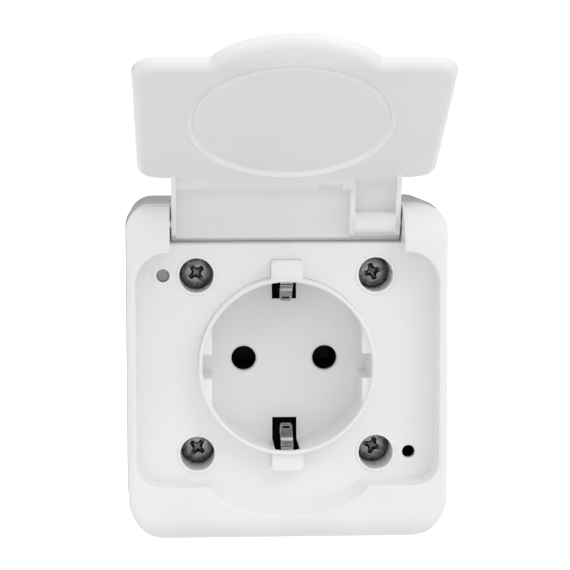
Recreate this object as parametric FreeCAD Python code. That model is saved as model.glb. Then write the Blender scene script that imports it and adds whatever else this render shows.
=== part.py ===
import FreeCAD, Part
import math, os
from FreeCAD import Vector

os.makedirs("parts", exist_ok=True)

# Surface-mounted outdoor socket outlet with a hinged lid. Millimetres.
# X is to the right, Y goes into the wall (the front faces -Y) and Z is up.
# The origin is where the outlet's own axis meets the wall.

# Depths, measured out from the wall
RIM_OUT = 46.0          # rim of the socket well
PLATE_BACK_STEP = 5.7   # the cover's plate lies this far behind the rim
FRONT_PROUD = 2.7       # the cover's frame stands this far in front of the rim
COVER_DEPTH = 17.7      # from the cover's front to the joint with the back box

# Socket well
WELL_R = 19.3
WELL_WALL = 0.9
WELL_DEPTH = 17.5
FLOOR_T = 2.5
WELL_GAP = 0.05         # round the well, in the cover's opening
RIM_CHAMFER = 0.3
PIN_HALF_PITCH = 9.5
PIN_HOLE_R = 2.9
PIN_LEAD_IN = 0.4
KEY_DEPTH = 2.2         # the side keys' flat faces stand this far inside the well's wall
KEY_DROP = 1.5          # key fronts behind the rim
KEY_NOTCH_W = 5.6
EARTH_SLOT_W = 5.7
EARTH_SLOT_DEPTH = 5.3  # how far the earth slots run in from the well's wall
LUG_HALF_W = 3.6
LUG_REACH = 3.9         # earth-clip housings beyond the rim
LUG_DROP = 1.0
LUG_CORNER_R = 0.8
FLANGE_W = 2.1
FLANGE_T = 1.6

# Cover screws
SINK_R = 3.95           # counterbore
SINK_DEPTH = 9.0        # from the plate to the screw head
TUBE_WALL = 1.25
TUBE_GAP = 1.49         # between a screw's tube and the well's flange
HEAD_R = 3.65
HEAD_H = 2.4
HEAD_CHAMFER = 0.6
DRIVE_SLOT_W = 1.0
DRIVE_SLOT_DEPTH = 0.9
CROSS_HALF_L = 1.6
CROSS_W = 1.1
CROSS_DEPTH = 1.6
SCREW_R = 1.9
SCREW_HOLE_GAP = 0.25
SCREW_LEN = 14.0
SEAL_T = 0.8
SEAL_GAP = 0.3          # between a screw seal and its counterbore
SEAT_T = 1.4
SINK_RING_W = 0.7       # raised ring round each counterbore
SINK_RING_H = 0.3

# Small holes in the plate; a peg of the box stands behind the left one
SMALL_HOLE_R = 1.5
PEG_R = 1.35
PEG_GAP = 1.05          # between the peg and a screw's tube
PAD_HALF_W = 2.35       # thin square pad round the left small hole
PAD_HALF_H = 2.0
PAD_T = 0.25

# Cover outline
SIDE_MARGIN = 6.75      # from the peg to the cover's side
SIDE_RIM_W = 2.05       # frame beside the bay
SHOULDER_H = 10.4       # hinge shoulders above the bay
SHOULDER_W = 9.7
BAR_H = 12.5            # bottom bar under the bay
BAY_TOP_GAP = 0.4       # from the screws' tubes to the bay's upper and lower edges
BAY_LOW_GAP = 1.2
TOP_CORNER_R = 5.0
LOW_CORNER_R = 10.0
COVER_WALL = 2.2
PLATE_T = 1.8
SIDE_ROUND = 1.5        # front edge of the side rims
TOP_ROUND = 10.6        # quarter-round of the two hinge shoulders
BOTTOM_ROUND = 5.5      # front edge of the bottom bar

# Bay that the lid closes into
BAY_LOW_CORNER_R = 5.5
BAY_TOP_CORNER_R = 7.0
BAY_EDGE_ROUND = 0.4
SCOOP_GAP = 0.6         # between the finger tab's tip and the scoop under it
SCOOP_SLOPE = 2.2       # the scoop reaches this much less far at the plate

# Lid
LID_GAP = 0.45          # all round, in the bay
LID_T = 2.9
LID_FACE_OUT = 0.26     # the closed lid's inner face lies this far behind the rim
LID_OUTER_ROUND = 0.5
LID_INNER_ROUND = 1.8
LID_OPEN_ANGLE = 118.8  # as photographed
TAB_HALF_W = 17.4
TAB_REACH = 6.6         # finger tab below the lid's lower edge
TAB_KICK = 2.9          # its tip curls this far outwards
TAB_ROOT = 3.0
TAB_SPREAD = 1.015      # its tip is part of an ellipse this much wider than the tab
TAB_CORNER_R = 1.5
OVAL_HALF_W = 22.24
OVAL_HALF_H = 24.5
OVAL_DROP = 2.3         # the oval's centre below the well's axis
OVAL_STEP = 1.2         # height of the oval on the outside, and width of its sloped edge
GROOVE_DEPTH = 1.2      # groove round the oval on the inside
GROOVE_SLOPE_W = 0.4
GROOVE_W = 1.05
DISH_DEPTH = 0.7        # the oval inside the groove lies this deep

# Hinge
AXIS_BEHIND_FRONT = 9.65
HINGE_DROP = 4.15       # hinge axis below the cover's top
PIN_R = 1.0
PIN_RUN_GAP = 0.05
PIN_SEAT_DEPTH = 4.6    # bore in the left shoulder for the lid's trunnion
PIN_END_GAP = 0.4       # at both ends of the trunnion and of the pin
NECK_GAP = 0.4          # between the neck and the shoulders
NECK_TOP_GAP = 0.05     # the shut neck's top below the cover's top
NECK_WALL = 1.1
NECK_SHELL_T = 1.4
NECK_END_BEHIND_AXIS = 2.45
NECK_END_H = 3.0        # height of the neck's side walls at its free end
NECK_ROOT = 2.7         # how far the neck's walls run down into the lid
TROUGH_GAP = 0.3        # round the turning neck's end
TROUGH_WALL = 1.6
LIP_GAP = 0.4           # from the open neck's end to the plate's upper lip
LIP_ROUND = 0.8
POCKET_W = 9.3          # pocket at the right end of the neck
POCKET_SHELL_T = 2.8
BARREL_R = 2.5
SWING_GAP = 0.3
DRIP_RIB_H = 1.9
DRIP_RIB_DROP = 1.8     # drip rib below the bay's upper edge
DRIP_NOTCH_X = 7.2
DRIP_NOTCH_W = 5.4

# Back box
BOX_PROUD = 0.65        # the box is this much larger than the cover, all round
BOX_WALL = 2.4
BOX_FLOOR = 2.4
BOSS_R = 4.0
PILLAR_R = 3.2
PILLAR_ASIDE = 8.5      # the carrier's two pillars, measured from the screw bosses
PILLAR_ABOVE = 5.0
GASKET_W = 1.2
GASKET_H = 1.0
GASKET_INSET = 0.7
ENTRY_R = 8.0
ENTRY_LIP = 1.2
ENTRY_LIP_T = 0.9
FIX_INSET_X = 6.1       # wall-fixing holes from the box's inner sides
FIX_INSET_Z = 6.2
FIX_HOLE_R = 2.2
FIX_SEAL_W = 2.0
FIX_SEAL_T = 1.2

# Grommet and blanking plug
MEMBRANE_T = 0.8
MEMBRANE_RING_R = 2.5
MEMBRANE_RING_H = 0.4
GROMMET_WALL = 1.6
PLUG_WALL = 1.5
PLUG_SKIRT = 1.6
PLUG_BEVEL = 1.0

# Contact carrier
CARRIER_STANDOFF = 5.6  # clear of the box's floor
CARRIER_FLOOR = 1.2
CARRIER_CORNER_R = 3.0
CARRIER_ARM_T = 3.0
CARRIER_ARM_HALF_W = 4.0
CARRIER_EDGE_W = 0.6    # outside the terminals
CARRIER_BOSS_GAP = 2.5  # between the carrier and the cover screws' bosses
CHAMBER_SIDE_GAP = 1.4  # round the contacts
CHAMBER_END_GAP = 2.4
WELL_BOSS_INSET = 4.5
WELL_BOSS_R = 2.6
WELL_BOSS_L = 6.0
FIT_GAP = 0.1           # between inner pieces that drop into one another

# Contacts and terminals
STRIP_T = 0.8
PLUG_PIN_R = 2.4
CONTACT_SHARE = 19 / 30 # how much of the carrier's inner depth the contacts fill
TONGUE_INSET = 1.2      # a contact's tongue behind its mouth
CONTACT_END_GAP = 1.8
MOUTH_FLARE = 0.6
MOUTH_RISE = 0.5
MOUTH_L = 1.4
TONGUE_W = 4.4
CLAMP_W = 5.4
CLAMP_H = 7.0
CLAMP_L = 9.0
CLAMP_SIDE_GAP = 0.8    # between the terminals and the well's wall
CLAMP_CORNER_R = 0.6
CLAMP_WINDOW_FROM = 3.0
CLAMP_WINDOW = 4.5
CLAMP_SCREW_R = 1.6
CLAMP_SCREW_SUNK = 0.2
CLAMP_SCREW_PAST = 1.5  # the terminal screw's end in the window
CLAMP_SLOT_W = 0.6
CLAMP_SLOT_DEPTH = 0.8

# Earth bridge
EARTH_STRIP_W = 2.7
EARTH_WEB_W = 8.0
EARTH_CLAMP_DROP = 7.4  # from the lower leg down to its terminal
CLIP_TIP_GAP = 1.2      # clip tip behind its housing's front
CLIP_TIP_L = 0.6
CLIP_TIP_IN = 0.8
CLIP_NOSE_L = 0.4
CLIP_NOSE_IN = 2.0
CLIP_BEND_L = 6.5       # from the tip to the point that touches the plug
CLIP_BEND_IN = 5.0
CLIP_END_L = 10.5
CLIP_END_IN = 3.4

# Small cross-head screws
CARRIER_HEAD_R = 3.5
CARRIER_HEAD_H = 2.2
WELL_SCREW_R = 1.2
WELL_HEAD_R = 2.4
WELL_HEAD_H = 1.8
WELL_SCREW_SHORT = 0.5  # its end stays clear of the well's floor
SMALL_CROSS_W = 0.6
SMALL_CROSS_SHARE = 0.6

# Places that follow from the sizes above; negative Y is towards the viewer
RIM_Y = -RIM_OUT
FRONT_Y = RIM_Y - FRONT_PROUD
SPLIT_Y = FRONT_Y + COVER_DEPTH
PLATE_Y = RIM_Y + PLATE_BACK_STEP
PLATE_BACK_Y = PLATE_Y + PLATE_T
FLOOR_Y = RIM_Y + WELL_DEPTH
FLOOR_BACK_Y = FLOOR_Y + FLOOR_T
HEAD_Y = PLATE_Y + SINK_DEPTH
SEAL_Y = HEAD_Y + HEAD_H
SEAT_Y = SEAL_Y + SEAL_T
TUBE_END_Y = SEAT_Y + SEAT_T

WELL_OUT_R = WELL_R + WELL_WALL
FLANGE_R = WELL_OUT_R + FLANGE_W
TUBE_R = SINK_R + TUBE_WALL
SCREW_HALF_PITCH = (FLANGE_R + TUBE_R + TUBE_GAP) / math.sqrt(2)
SMALL_HOLE_X = SCREW_HALF_PITCH + TUBE_R + PEG_R + PEG_GAP

HALF_W = SMALL_HOLE_X + PEG_R + SIDE_MARGIN
BAY_HALF_W = HALF_W - SIDE_RIM_W
BAY_TOP_Z = SCREW_HALF_PITCH + TUBE_R + BAY_TOP_GAP
BAY_BOTTOM_Z = -(SCREW_HALF_PITCH + TUBE_R + BAY_LOW_GAP)
TOP_Z = BAY_TOP_Z + SHOULDER_H
BOTTOM_Z = BAY_BOTTOM_Z - BAR_H
SHOULDER_X = HALF_W - SHOULDER_W

LID_INNER_Y = RIM_Y + LID_FACE_OUT
LID_OUTER_Y = LID_INNER_Y - LID_T
LID_BOTTOM_Z = BAY_BOTTOM_Z + LID_GAP
SCOOP_REACH = TAB_REACH + SCOOP_GAP - LID_GAP
AXIS_Y = FRONT_Y + AXIS_BEHIND_FRONT
AXIS_Z = TOP_Z - HINGE_DROP
NECK_HALF_W = SHOULDER_X - NECK_GAP
NECK_TOP_Z = TOP_Z - NECK_TOP_GAP
NECK_END_Y = AXIS_Y + NECK_END_BEHIND_AXIS
POCKET_X1 = NECK_HALF_W - NECK_WALL
POCKET_X0 = POCKET_X1 - POCKET_W
DRIP_RIB_Z = BAY_TOP_Z - DRIP_RIB_DROP
TROUGH_R = math.hypot(NECK_END_BEHIND_AXIS, HINGE_DROP - NECK_TOP_GAP) + TROUGH_GAP

BOX_HALF_W = HALF_W + BOX_PROUD
BOX_TOP_Z = TOP_Z + BOX_PROUD
BOX_BOTTOM_Z = BOTTOM_Z - BOX_PROUD
BOX_TOP_R = TOP_CORNER_R + BOX_PROUD
BOX_LOW_R = LOW_CORNER_R + BOX_PROUD
ENTRY_Y = (SPLIT_Y + GASKET_H - BOX_FLOOR) / 2
ENTRY_LIP_R = ENTRY_R + ENTRY_LIP

CARRIER_FRONT_Y = FLOOR_BACK_Y
CARRIER_BACK_Y = -BOX_FLOOR - CARRIER_STANDOFF
ARM_Y = CARRIER_BACK_Y - CARRIER_ARM_T
CLAMP_X = WELL_OUT_R + CLAMP_SIDE_GAP + CLAMP_W / 2
CARRIER_HALF_W = CLAMP_X + CLAMP_W / 2 + CARRIER_EDGE_W
CARRIER_HALF_H = SCREW_HALF_PITCH - BOSS_R - CARRIER_BOSS_GAP
WELL_BOSS_Z = CARRIER_HALF_H - WELL_BOSS_INSET
PILLAR_X = SCREW_HALF_PITCH - PILLAR_ASIDE
PILLAR_Z = SCREW_HALF_PITCH + PILLAR_ABOVE
PILLARS = ((-PILLAR_X, PILLAR_Z), (PILLAR_X, -PILLAR_Z))
CONTACT_BACK_Y = CARRIER_BACK_Y - CARRIER_FLOOR - CONTACT_END_GAP
CONTACT_FRONT_Y = CONTACT_BACK_Y - CONTACT_SHARE * (CONTACT_BACK_Y - CARRIER_FRONT_Y)
TONGUE_Y = CONTACT_FRONT_Y + TONGUE_INSET
CLAMP_FRONT_Y = TONGUE_Y + STRIP_T - CLAMP_WINDOW_FROM - CLAMP_WINDOW
EARTH_LEG_Z = WELL_OUT_R + STRIP_T / 2
EARTH_CLAMP_Z = -EARTH_LEG_Z - EARTH_CLAMP_DROP
PAST = 1.0              # how far a cutting tool runs past the face it opens

X_DIR = Vector(1, 0, 0)
Y_DIR = Vector(0, 1, 0)
Z_DIR = Vector(0, 0, 1)
ORIGIN = Vector(0, 0, 0)


def block(x0, x1, y0, y1, z0, z1):
    return Part.makeBox(x1 - x0, y1 - y0, z1 - z0, Vector(x0, y0, z0))


def post(radius, y0, y1, x=0.0, z=0.0):
    """Cylinder along Y."""
    return Part.makeCylinder(radius, y1 - y0, Vector(x, y0, z), Y_DIR)


def rod(radius, x0, x1):
    """Cylinder along X on the hinge axis."""
    return Part.makeCylinder(radius, x1 - x0, Vector(x0, AXIS_Y, AXIS_Z), X_DIR)


def edges_along(shape, direction):
    found = []
    for edge in shape.Edges:
        ends = edge.Vertexes
        if len(ends) == 2 and (ends[1].Point - ends[0].Point).normalize().cross(direction).Length < 1e-6:
            found.append(edge)
    return found


def edges_in_plane(shape, y):
    return [e for e in shape.Edges if abs(e.BoundBox.YMin - y) < 1e-4 and abs(e.BoundBox.YMax - y) < 1e-4]


def slab(x0, x1, y0, y1, z0, z1, high_r, low_r):
    """Block whose upper and lower edges along Y are rounded."""
    solid = block(x0, x1, y0, y1, z0, z1)
    middle = (z0 + z1) / 2
    solid = solid.makeFillet(high_r, [e for e in edges_along(solid, Y_DIR) if e.BoundBox.ZMin > middle])
    return solid.makeFillet(low_r, [e for e in edges_along(solid, Y_DIR) if e.BoundBox.ZMax < middle])


def bay_slab(gap, y0, y1):
    """Prism of the bay's outline, or with a gap that of the lid that closes into it."""
    x = BAY_HALF_W - gap
    return slab(-x, x, y0, y1, BAY_BOTTOM_Z + gap, BAY_TOP_Z - gap, BAY_TOP_CORNER_R - gap, BAY_LOW_CORNER_R - gap)


def cover_slab(step, y0, y1):
    """Prism of the cover's outline, stepped inwards."""
    x = HALF_W - step
    return slab(-x, x, y0, y1, BOTTOM_Z + step, TOP_Z - step, TOP_CORNER_R - step, LOW_CORNER_R - step)


def box_slab(step, y0, y1):
    """Prism of the box's outline, stepped inwards."""
    return cover_slab(step - BOX_PROUD, y0, y1)


def arc(start, middle, end):
    return Part.Arc(start, middle, end).toShape()


def line(start, end):
    return Part.LineSegment(start, end).toShape()


def side_profile(inset, y_back):
    """Side view of the cover, offset inwards by inset, as a prism across the whole width."""
    top = TOP_Z - inset
    bottom = BOTTOM_Z + inset
    front = FRONT_Y + inset
    top_r = TOP_ROUND - inset
    low_r = BOTTOM_ROUND - inset
    diagonal = 1 - math.sqrt(0.5)
    p1 = Vector(0, y_back, bottom)
    p2 = Vector(0, front + low_r, bottom)
    p3 = Vector(0, front, bottom + low_r)
    p4 = Vector(0, front, top - top_r)
    p5 = Vector(0, front + top_r, top)
    p6 = Vector(0, y_back, top)
    low_mid = Vector(0, front + low_r * diagonal, bottom + low_r * diagonal)
    top_mid = Vector(0, front + top_r * diagonal, top - top_r * diagonal)
    wire = Part.Wire([line(p1, p2), arc(p2, low_mid, p3), line(p3, p4), arc(p4, top_mid, p5),
                      line(p5, p6), line(p6, p1)])
    face = Part.Face(wire)
    face.translate(Vector(-HALF_W - PAST, 0, 0))
    return face.extrude(Vector(2 * (HALF_W + PAST), 0, 0))


def at_four_screws(shape_at):
    return [shape_at(sx * SCREW_HALF_PITCH, sz * SCREW_HALF_PITCH) for sx in (-1, 1) for sz in (-1, 1)]


def small_holes(radius, y0, y1):
    return [post(radius, y0, y1, side * SMALL_HOLE_X, -side * SCREW_HALF_PITCH) for side in (-1, 1)]


def fused(shapes):
    return shapes[0].multiFuse(shapes[1:]).removeSplitter()


def cut_all(body, tools):
    for tool in tools:
        body = body.cut(tool)
    return body


def save(name, shape):
    shape.exportStep("parts/%s.step" % name)
    print("%-18s %2d solid(s) %9.1f mm3 %5d faces valid=%s" % (
        name, len(shape.Solids), shape.Volume, len(shape.Faces), shape.isValid()))


# Cover

def tab_outline(y, half_w, z_start, reach, z_top):
    """Closed outline of the finger tab, or of the scoop under it, with a tip that is part of an ellipse."""
    wide = half_w * TAB_SPREAD
    deep = reach / (1 - math.sqrt(1 - 1 / TAB_SPREAD ** 2))
    start = math.acos(1 / TAB_SPREAD)
    ellipse = Part.Ellipse(Vector(0, z_start - reach + deep, 0), wide, deep)
    tip = Part.ArcOfEllipse(ellipse, math.pi + start, 2 * math.pi - start).toShape()
    a = Vector(-half_w, z_top, 0)
    b = Vector(-half_w, z_start, 0)
    c = Vector(half_w, z_start, 0)
    d = Vector(half_w, z_top, 0)
    wire = Part.Wire([line(a, b), tip, line(c, d), line(d, a)])
    wire.rotate(ORIGIN, X_DIR, 90)
    wire.translate(Vector(0, y, 0))
    return wire


def scoop():
    """Sloping recess in the bottom bar, behind the finger tab."""
    z_top = BAY_BOTTOM_Z + BAY_LOW_CORNER_R
    front = tab_outline(FRONT_Y, TAB_HALF_W + SCOOP_GAP, BAY_BOTTOM_Z, SCOOP_REACH, z_top)
    back = tab_outline(PLATE_Y, TAB_HALF_W - SCOOP_GAP, BAY_BOTTOM_Z, SCOOP_REACH - SCOOP_SLOPE, z_top)
    mouth = Part.Face(front).extrude(Vector(0, -PAST, 0))
    return Part.makeLoft([front, back], True, True).fuse(mouth)


def trough():
    """Space between the shoulders that the lid's neck turns in."""
    x = SHOULDER_X
    above = block(-x, x, FRONT_Y - PAST, AXIS_Y + TROUGH_R, AXIS_Z, TOP_Z + PAST)
    ahead = block(-x, x, FRONT_Y - PAST, PLATE_Y, BAY_TOP_Z - BAY_TOP_CORNER_R, TOP_Z + PAST)
    return fused([rod(TROUGH_R, -x, x), above, ahead])


def cover_cavity():
    """Hollow behind the plate and in the bottom bar."""
    main = cover_slab(COVER_WALL, PLATE_BACK_Y, SPLIT_Y + PAST)
    left = -SHOULDER_X - PIN_SEAT_DEPTH
    keep = rod(TROUGH_R + TROUGH_WALL, left, HALF_W)
    keep = keep.fuse(block(left, HALF_W, FRONT_Y, SPLIT_Y + 2 * PAST, AXIS_Z - TROUGH_R, TOP_Z))
    main = main.cut(keep)
    shell = cover_slab(COVER_WALL + SIDE_ROUND, FRONT_Y, PLATE_BACK_Y + PAST).common(side_profile(COVER_WALL, SPLIT_Y))
    scoop_x = TAB_HALF_W + COVER_WALL
    pockets = [shell.common(block(x0, x1, FRONT_Y, PLATE_BACK_Y + PAST, BOTTOM_Z, BAY_BOTTOM_Z - COVER_WALL))
               for x0, x1 in ((-HALF_W, -scoop_x), (scoop_x, HALF_W))]
    return fused([main] + pockets)


def screw_tube(x, z):
    return post(TUBE_R, PLATE_Y, TUBE_END_Y, x, z)


def sink_ring(x, z):
    """Raised ring round a counterbore's mouth."""
    ring = post(SINK_R + SINK_RING_W, PLATE_Y - SINK_RING_H, PLATE_Y + SINK_RING_H, x, z)
    return ring.makeChamfer(SINK_RING_H / 2, edges_in_plane(ring, PLATE_Y - SINK_RING_H))


def screw_sink(x, z):
    sink = post(SINK_R, PLATE_Y - PAST, SEAT_Y, x, z)
    return sink.fuse(post(SCREW_R + SCREW_HOLE_GAP, SEAT_Y - PAST, TUBE_END_Y + PAST, x, z))


def trough_lip():
    """Rounded upper edge of the plate, in front of the trough."""
    x = SHOULDER_X
    lip = block(-x, x, PLATE_Y, AXIS_Y, AXIS_Z - TROUGH_R - LIP_ROUND, AXIS_Z - HINGE_DROP - LIP_GAP)
    top = [e for e in edges_along(lip, X_DIR) if e.BoundBox.ZMin > AXIS_Z - TROUGH_R and e.BoundBox.YMax < AXIS_Y]
    return lip.makeFillet(LIP_ROUND, top)


def hole_pad():
    """Thin pad round the left small hole."""
    return block(-SMALL_HOLE_X - PAD_HALF_W, -SMALL_HOLE_X + PAD_HALF_W, PLATE_Y - PAD_T, PLATE_Y + PAD_T,
                 SCREW_HALF_PITCH - PAD_HALF_H, SCREW_HALF_PITCH + PAD_HALF_H)


def lug(gap, y0, y1):
    """The two earth-clip housings above and below the well, or with a gap the opening for them."""
    x = LUG_HALF_W + gap
    reach = WELL_OUT_R + LUG_REACH + gap
    return slab(-x, x, y0, y1, -reach, reach, LUG_CORNER_R, LUG_CORNER_R)


def make_cover():
    body = cover_slab(0.0, FRONT_Y, SPLIT_Y)
    body = body.makeFillet(SIDE_ROUND, edges_in_plane(body, FRONT_Y))
    body = body.common(side_profile(0.0, SPLIT_Y)).cut(cover_cavity())
    body = fused([body] + at_four_screws(screw_tube))
    body = body.cut(fused([bay_slab(0.0, FRONT_Y - PAST, PLATE_Y), scoop()]))
    inner = [e for e in edges_in_plane(body, FRONT_Y) if e.BoundBox.XMax < BAY_HALF_W + BAY_EDGE_ROUND / 2
             and e.BoundBox.XMin > -BAY_HALF_W - BAY_EDGE_ROUND / 2
             and e.BoundBox.ZMin > BAY_BOTTOM_Z - SCOOP_REACH - BAY_EDGE_ROUND / 2]
    body = body.makeFillet(BAY_EDGE_ROUND, inner).cut(trough())
    body = fused([body, trough_lip(), hole_pad()] + at_four_screws(sink_ring))
    openings = [post(WELL_OUT_R + WELL_GAP, PLATE_Y - PAST, PLATE_BACK_Y + PAST),
                lug(WELL_GAP, PLATE_Y - PAST, PLATE_BACK_Y + PAST),
                rod(PIN_R + PIN_RUN_GAP, -SHOULDER_X - PIN_SEAT_DEPTH, -SHOULDER_X + PAST),
                rod(PIN_R, SHOULDER_X - PAST, HALF_W + PAST)]
    openings += small_holes(SMALL_HOLE_R, PLATE_Y - PAST, PLATE_BACK_Y + PAST) + at_four_screws(screw_sink)
    return cut_all(body, openings)


# Back box and its seals

def box_ring(y0, y1):
    """Frame of the gasket, which follows the box's outline."""
    return box_slab(GASKET_INSET, y0, y1).cut(box_slab(GASKET_INSET + GASKET_W, y0, y1))


def fixing_points():
    x = BOX_HALF_W - BOX_WALL - FIX_INSET_X
    return [(sx * x, z) for sx in (-1, 1)
            for z in (BOX_TOP_Z - BOX_WALL - FIX_INSET_Z, BOX_BOTTOM_Z + BOX_WALL + FIX_INSET_Z)]


def make_back_box():
    box = box_slab(0.0, SPLIT_Y, 0).cut(box_slab(BOX_WALL, SPLIT_Y - PAST, -BOX_FLOOR))
    solids = [box]
    solids += at_four_screws(lambda sx, sz: post(BOSS_R, TUBE_END_Y, -BOX_FLOOR, sx, sz))
    solids += [post(PILLAR_R, CARRIER_BACK_Y, -BOX_FLOOR, x, z) for x, z in PILLARS]
    solids.append(post(PEG_R, PLATE_BACK_Y, -BOX_FLOOR, -SMALL_HOLE_X, SCREW_HALF_PITCH))
    cuts = [box_ring(SPLIT_Y - PAST, SPLIT_Y + GASKET_H)]
    cuts += at_four_screws(lambda sx, sz: post(SCREW_R, TUBE_END_Y - PAST, SEAL_Y + SCREW_LEN, sx, sz))
    cuts += [post(SCREW_R, CARRIER_BACK_Y - PAST, -BOX_FLOOR, x, z) for x, z in PILLARS]
    cuts += [post(FIX_HOLE_R, -BOX_FLOOR - PAST, PAST, x, z) for x, z in fixing_points()]
    height = BOX_TOP_Z - BOX_BOTTOM_Z + 2 * PAST
    cuts.append(Part.makeCylinder(ENTRY_R, height, Vector(0, ENTRY_Y, BOX_BOTTOM_Z - PAST), Z_DIR))
    return cut_all(fused(solids), cuts)


def make_box_gasket():
    return box_ring(SPLIT_Y, SPLIT_Y + GASKET_H)


def turned_z(points, z0):
    """Solid of revolution about the vertical line through the cable entries."""
    wire = Part.makePolygon([Vector(r, 0, z) for r, z in points + points[:1]])
    solid = Part.Face(wire).revolve(ORIGIN, Z_DIR, 360)
    solid.translate(Vector(0, ENTRY_Y, z0))
    return solid


def make_cable_grommet():
    """Rubber grommet in the lower entry, with a thin membrane that the cable is pushed through."""
    bore = ENTRY_R - GROMMET_WALL
    inside = BOX_WALL + ENTRY_LIP_T
    ring = MEMBRANE_RING_R
    profile = [(0, 0), (ring, 0), (ring, -MEMBRANE_RING_H), (bore, -MEMBRANE_RING_H), (bore, -ENTRY_LIP_T),
               (ENTRY_LIP_R, -ENTRY_LIP_T), (ENTRY_LIP_R, 0), (ENTRY_R, 0), (ENTRY_R, BOX_WALL),
               (ENTRY_LIP_R, BOX_WALL), (ENTRY_LIP_R, inside), (bore, inside), (bore, MEMBRANE_T), (0, MEMBRANE_T)]
    return turned_z(profile, BOX_BOTTOM_Z)


def make_blanking_plug():
    """Plug that closes the upper entry."""
    bore = ENTRY_R - PLUG_WALL
    skirt = BOX_WALL + PLUG_SKIRT
    profile = [(0, ENTRY_LIP_T), (ENTRY_LIP_R, ENTRY_LIP_T), (ENTRY_LIP_R, 0), (ENTRY_R, 0),
               (ENTRY_R, PLUG_BEVEL - skirt), (bore, -skirt), (bore, -ENTRY_LIP_T), (0, -ENTRY_LIP_T)]
    return turned_z(profile, BOX_TOP_Z)


def make_fixing_seals():
    rings = []
    for x, z in fixing_points():
        ring = post(FIX_HOLE_R + FIX_SEAL_W, -BOX_FLOOR - FIX_SEAL_T, -BOX_FLOOR, x, z)
        rings.append(ring.cut(post(FIX_HOLE_R, -BOX_FLOOR - FIX_SEAL_T - PAST, PAST, x, z)))
    return Part.Compound(rings)


# Cover screws

def make_cover_screw(x, z, turn):
    """Pan head with a cross recess, and a slot that runs along two of its arms."""
    head = post(HEAD_R, HEAD_Y, SEAL_Y)
    head = head.makeChamfer(HEAD_CHAMFER, edges_in_plane(head, HEAD_Y))
    front = HEAD_Y - PAST
    slot = block(-HEAD_R - PAST, HEAD_R + PAST, front, HEAD_Y + DRIVE_SLOT_DEPTH, -DRIVE_SLOT_W / 2, DRIVE_SLOT_W / 2)
    along = block(-CROSS_HALF_L, CROSS_HALF_L, front, HEAD_Y + CROSS_DEPTH, -CROSS_W / 2, CROSS_W / 2)
    across = block(-CROSS_W / 2, CROSS_W / 2, front, HEAD_Y + CROSS_DEPTH, -CROSS_HALF_L, CROSS_HALF_L)
    screw = head.fuse(post(SCREW_R, SEAL_Y, SEAL_Y + SCREW_LEN)).cut(fused([slot, along, across]))
    return placed(screw, Vector(x, 0, z), turn)


def make_cover_screws():
    turns = {(-1, 1): 51, (1, 1): -17, (-1, -1): -51, (1, -1): 17}
    return Part.Compound([make_cover_screw(sx * SCREW_HALF_PITCH, sz * SCREW_HALF_PITCH, turn)
                          for (sx, sz), turn in turns.items()])


def make_screw_seals():
    def seal(x, z):
        return post(SINK_R - SEAL_GAP, SEAL_Y, SEAT_Y, x, z).cut(post(SCREW_R, SEAL_Y - PAST, SEAT_Y + PAST, x, z))
    return Part.Compound(at_four_screws(seal))


# Socket well with its keys, slots and clip housings

def side_keys():
    """What the flat side keys leave standing in the round hollow."""
    keys = []
    for side in (-1, 1):
        x0, x1 = sorted((side * (WELL_R - KEY_DEPTH), side * (WELL_R + PAST)))
        segment = block(x0, x1, RIM_Y + KEY_DROP, FLOOR_Y + PAST, -WELL_R, WELL_R)
        keys.append(segment.cut(block(x0 - PAST, x1 + PAST, RIM_Y, FLOOR_Y + 2 * PAST,
                                      -KEY_NOTCH_W / 2, KEY_NOTCH_W / 2)))
    return fused(keys)


def make_socket_well():
    wall = post(WELL_OUT_R, RIM_Y, FLOOR_BACK_Y)
    wall = wall.makeChamfer(RIM_CHAMFER, edges_in_plane(wall, RIM_Y))
    flange = post(FLANGE_R, PLATE_BACK_Y, PLATE_BACK_Y + FLANGE_T)
    housings = lug(0.0, RIM_Y + LUG_DROP, FLOOR_BACK_Y)
    housings = housings.makeChamfer(RIM_CHAMFER, edges_in_plane(housings, RIM_Y + LUG_DROP))
    body = fused([wall, flange, housings])
    mouth = Part.makeCone(WELL_R + RIM_CHAMFER, WELL_R, RIM_CHAMFER, Vector(0, RIM_Y, 0), Y_DIR)
    cuts = [mouth, post(WELL_R, RIM_Y - PAST, FLOOR_Y).cut(side_keys())]
    x = EARTH_SLOT_W / 2
    clip_front = RIM_Y + LUG_DROP + WELL_WALL
    for side in (-1, 1):
        z0, z1 = sorted((side * (WELL_R - EARTH_SLOT_DEPTH), side * (WELL_OUT_R + LUG_REACH - WELL_WALL)))
        cuts.append(block(-x, x, clip_front, FLOOR_BACK_Y + PAST, z0, z1))
        pin_x = side * PIN_HALF_PITCH
        cuts.append(post(PIN_HOLE_R, FLOOR_Y - PAST, FLOOR_BACK_Y + PAST, pin_x))
        cuts.append(Part.makeCone(PIN_HOLE_R + PIN_LEAD_IN, PIN_HOLE_R, PIN_LEAD_IN, Vector(pin_x, FLOOR_Y, 0), Y_DIR))
    body = cut_all(body, cuts)
    end_y = FLOOR_BACK_Y + WELL_BOSS_L
    body = fused([body] + [post(WELL_BOSS_R, FLOOR_BACK_Y, end_y, 0, side * WELL_BOSS_Z) for side in (-1, 1)])
    return cut_all(body, [post(WELL_SCREW_R, FLOOR_BACK_Y, end_y + PAST, 0, side * WELL_BOSS_Z) for side in (-1, 1)])


# Contact carrier, contacts and terminals

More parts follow.
